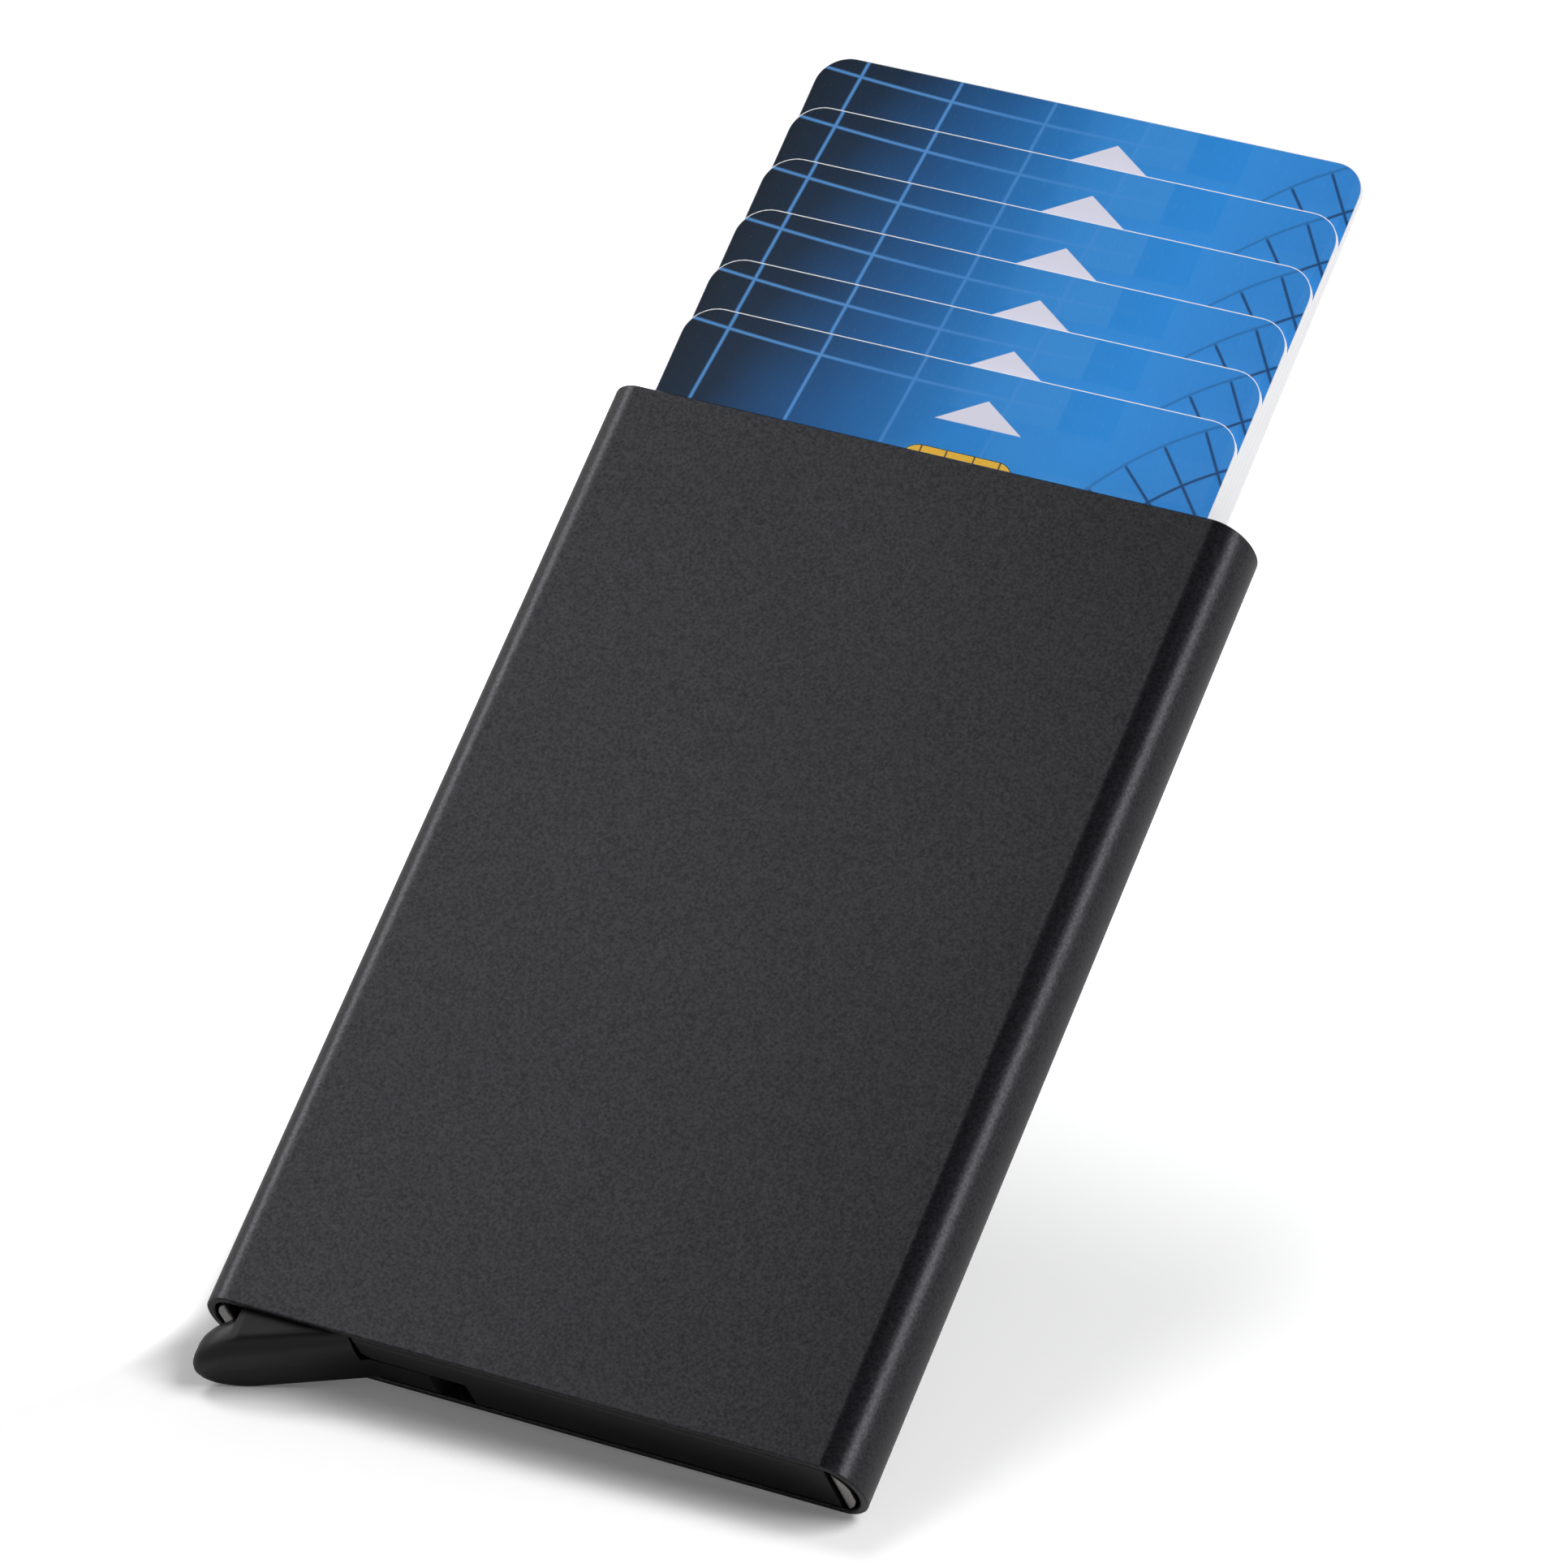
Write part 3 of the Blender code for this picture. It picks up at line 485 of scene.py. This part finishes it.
def gold_contact(index):
    """A gold-plated contact plate, parted by thin dark lines."""
    material, g = new_material("gold_contact_%d" % (index + 1))
    place = g.place()
    x, y, _ = g.split(place)
    across = g.math("SUBTRACT", x, CHIP_MIDDLE)
    down = g.math("SUBTRACT", CARD_TOPS[index] - CHIP_TOP, y)
    lines = [g.line(g.math("SUBTRACT", across, middle), *CHIP_LINE) for middle in CHIP_UPRIGHTS]
    outside = g.spread(g.math("ABSOLUTE", across), *CHIP_ROWS_OUTSIDE)
    for row in CHIP_ROWS:
        cross = g.line(g.math("SUBTRACT", down, row), *CHIP_LINE)
        lines.append(g.math("MULTIPLY", cross, outside))
    parted = g.most(lines)
    wear = g.noise(place, *CHIP_WEAR)
    gold = g.mix(wear, CHIP_DARK, CHIP_PALE)
    metal = g.math("MULTIPLY", g.math("SUBTRACT", 1.0, parted), CHIP_METAL)
    g.surface(
        Base_Color=g.mix(parted, gold, CHIP_LINE_COLOUR),
        Metallic=metal,
        Roughness=g.math("MULTIPLY_ADD", wear, *CHIP_ROUGH),
        Normal=g.bump(metal, *CHIP_BUMP),
    )
    return material


def make_camera():
    """The photograph's own viewpoint."""
    data = bpy.data.cameras.new("photo_camera")
    data.lens = CAMERA_LENS
    data.sensor_width = CAMERA_SENSOR
    data.clip_start = CAMERA_NEAR
    data.clip_end = CAMERA_FAR
    camera = bpy.data.objects.new("photo_camera", data)
    turn = Matrix((CAMERA_RIGHT, CAMERA_UP, CAMERA_BACK)).transposed()
    camera.matrix_world = Matrix.Translation(CAMERA_PLACE) @ turn.to_4x4()
    bpy.context.scene.collection.objects.link(camera)
    bpy.context.scene.camera = camera


def floor_lift(g, leftward, ahead):
    """Painted light that the floor gives off for the camera far behind the holder and at its left, where it
    lightens the holder's shadow.
    """
    raised = g.spread(ahead, -FLOOR_NEAR, -FLOOR_FAR, FLOOR_LIFT_NEAR, FLOOR_LIFT_FAR, smooth=True)
    aside = g.math("MULTIPLY_ADD", ahead, FLOOR_LEFT_LEAN, leftward)
    left = g.spread(aside, FLOOR_LEFT_FROM, FLOOR_LEFT_TO, 0.0, FLOOR_LIFT_LEFT, smooth=True)
    from_line = g.math("ADD", ahead, FLOOR_LEFT_BEHIND)
    behind = g.math("MULTIPLY_ADD", leftward, -FLOOR_LEFT_TURN, from_line)
    left = g.math("MULTIPLY", left, g.spread(behind, 0.0, -FLOOR_LEFT_BEHIND, smooth=True))
    return g.math("ADD", raised, left)


def floor_material():
    """White to the camera, with the holder's shadow, lightened by painted light far behind the holder and
    at its left; clear from below.
    """
    material, g = new_material("floor_white")
    place = g.place()
    leftward, ahead, _ = g.split(place)
    direct = g.seen()
    tooth = g.spread(g.noise(place, *FLOOR_TOOTH), *FLOOR_TOOTH_RANGE)
    white = g.math("MULTIPLY", g.mix_value(direct, FLOOR_GREY, FLOOR_WHITE), tooth)
    matt = g.add("ShaderNodeBsdfDiffuse")
    g.put(matt.inputs["Color"], g.join(white, white, white))
    # Painted light: an emission seen by the camera only, which lightens the holder's shadow far behind it
    # and washes it out at its left
    lift = g.add("ShaderNodeEmission")
    g.put(lift.inputs["Strength"], g.math("MULTIPLY", direct, floor_lift(g, leftward, ahead)))
    lifted = g.add("ShaderNodeAddShader")
    g.put(lifted.inputs[0], matt.outputs[0])
    g.put(lifted.inputs[1], lift.outputs[0])
    shown = g.add("ShaderNodeMixShader")
    g.put(shown.inputs[0], g.add("ShaderNodeNewGeometry").outputs["Backfacing"])
    g.put(shown.inputs[1], lifted.outputs[0])
    g.put(shown.inputs[2], g.add("ShaderNodeBsdfTransparent").outputs[0])
    out = g.add("ShaderNodeOutputMaterial")
    g.put(out.inputs["Surface"], shown.outputs[0])
    return material


def make_floor():
    """A flat floor under the leaning holder, seen from above only."""
    half = FLOOR_SIZE / 2
    mesh = bpy.data.meshes.new("floor")
    corners = [(-half, -half, 0), (half, -half, 0), (half, half, 0), (-half, half, 0)]
    mesh.from_pydata(corners, [], [(0, 1, 2, 3)])
    mesh.materials.append(floor_material())
    floor = bpy.data.objects.new("floor", mesh)
    turn = Vector(FLOOR_UP).to_track_quat("Z", "Y")
    floor.matrix_world = Matrix.Translation(FLOOR_POINT) @ turn.to_matrix().to_4x4()
    bpy.context.scene.collection.objects.link(floor)


def make_soft_box(name, direction, distance, size, power, in_gloss, on_matt):
    """A square soft box that faces the holder and that the camera doesn't see."""
    data = bpy.data.lights.new(name, "AREA")
    data.size = size
    data.energy = power
    light = bpy.data.objects.new(name, data)
    light.visible_camera = False
    light.visible_glossy = in_gloss
    light.visible_diffuse = on_matt
    toward = Vector(direction).normalized()
    light.location = Vector(LIGHT_TARGET) + toward * distance
    light.rotation_mode = "QUATERNION"
    light.rotation_quaternion = toward.to_track_quat("Z", "Y")
    bpy.context.scene.collection.objects.link(light)


def make_world():
    """White to the camera, a dim room with a wall and a window in gloss, a soft light to matt surfaces."""
    world = bpy.data.worlds.new("studio")
    world.use_nodes = True
    bpy.context.scene.world = world
    g = Graph(world.node_tree)
    direction = g.add("ShaderNodeTexCoord").outputs["Generated"]
    wall = g.spread(g.dot(direction, FLOOR_UP), WALL_TOP, WALL_FULL, smooth=True)
    toward_window = g.dot(direction, WINDOW_SIDE)
    window = g.spread(toward_window, WINDOW_EDGE, WINDOW_FULL, WALL_LIGHT, WINDOW_LIGHT, smooth=True)
    room = g.math("MULTIPLY_ADD", wall, window, ROOM_DIM)
    lit = g.mix_value(g.ray("Glossy"), ROOM_SOFT, room)
    sky = g.add("ShaderNodeBackground")
    g.put(sky.inputs["Color"], WHITE)
    g.put(sky.inputs["Strength"], g.mix_value(g.seen(), lit, ROOM_SEEN))
    out = g.add("ShaderNodeOutputWorld")
    g.put(out.inputs["Surface"], sky.outputs[0])


def spot(corner):
    """A corner's place, coarse enough that corners which meet have the same one."""
    return tuple(round(value / WELD) for value in corner)


def round_off(item):
    """Shades round faces smooth: each corner takes the mean normal of the faces there that nearly agree."""
    mesh = item.data
    faces = []
    for face in mesh.polygons:
        spots = [spot(mesh.vertices[index].co) for index in face.vertices]
        faces.append((face.normal.copy(), face.area, spots))
    meeting = {}
    for normal, area, spots in faces:
        for place in spots:
            meeting.setdefault(place, []).append((normal, area))
    normals = []
    for normal, _, spots in faces:
        for place in spots:
            total = Vector((0.0, 0.0, 0.0))
            for other, weight in meeting[place]:
                if normal.dot(other) > SMOOTH_COSINE:
                    total += other * weight
            normals.append(total.normalized())
    mesh.shade_smooth()
    mesh.normals_split_custom_set(normals)


def dress(frame):
    """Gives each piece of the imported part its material."""
    shared = {"anodised_case": anodised(), "black_plastic": moulded_plastic(), "steel": steel()}
    for subpart in frame["record"]["subparts"]:
        name = subpart["node"]
        slot = subpart["material_slot"]
        if slot in shared:
            material = shared[slot]
        else:
            index = int(name.rsplit("_", 1)[1]) - 1
            material = card_print(index) if slot == "printed_card" else gold_contact(index)
        item = frame["nodes"][name]
        item.data.materials.clear()
        item.data.materials.append(material)
        round_off(item)


with open("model.json") as file:
    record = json.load(file)
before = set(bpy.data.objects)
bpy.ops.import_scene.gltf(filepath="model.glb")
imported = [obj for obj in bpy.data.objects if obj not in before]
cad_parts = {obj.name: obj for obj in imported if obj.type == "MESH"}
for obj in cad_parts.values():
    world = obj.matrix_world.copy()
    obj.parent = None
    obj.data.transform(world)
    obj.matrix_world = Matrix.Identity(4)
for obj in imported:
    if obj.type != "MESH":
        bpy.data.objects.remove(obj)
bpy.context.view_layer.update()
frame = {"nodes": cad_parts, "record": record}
make_camera()
make_world()
make_floor()
for soft_box in SOFT_BOXES:
    make_soft_box(*soft_box)
dress(frame)
bpy.context.scene.view_settings.view_transform = "Standard"
